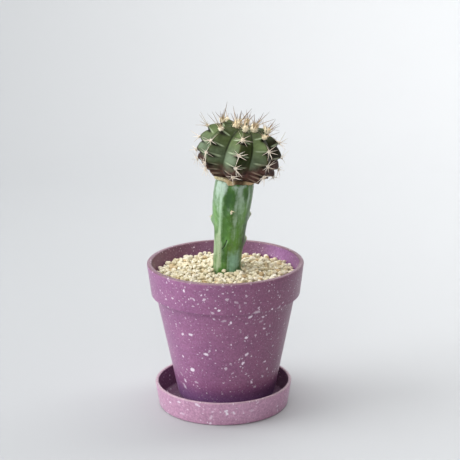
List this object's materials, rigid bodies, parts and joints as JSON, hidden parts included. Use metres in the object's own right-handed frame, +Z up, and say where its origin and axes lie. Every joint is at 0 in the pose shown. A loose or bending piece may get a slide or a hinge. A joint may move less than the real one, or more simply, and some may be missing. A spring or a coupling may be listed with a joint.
{
  "type": "potted gymnocalycium friedrichii",
  "caption": "Ribbed, spined globular cactus grafted on a green three-sided stem, in a flecked purple pot of gravel on its round saucer.",
  "frame": {"origin": "centre of the pot's axis on the surface the saucer stands on", "axes": "+Z up along the pot's axis; the pictured front faces -Y, with +X to its right"},
  "size_m": [0.116, 0.116, 0.2268],
  "materials": {
    "pot_plastic": "satin, purple with pale pink flecks",
    "saucer_plastic": "satin, lighter purple with pale pink flecks",
    "soil": "matte, dark crumbly potting mix",
    "gravel": "matte, cream porous grains",
    "stem_skin": "waxy, green with a pale bloom",
    "callus": "matte, corky",
    "head_skin": "matte, grey-green above and purple-brown below, with pale spines"
  },
  "bodies": {
    "root": {"saucer": "saucer_plastic", "pot": "pot_plastic", "potting_mix": "soil", "gravel": "gravel", "rootstock": "stem_skin", "graft_union": "callus", "scion": "head_skin"}
  },
  "joints": []
}
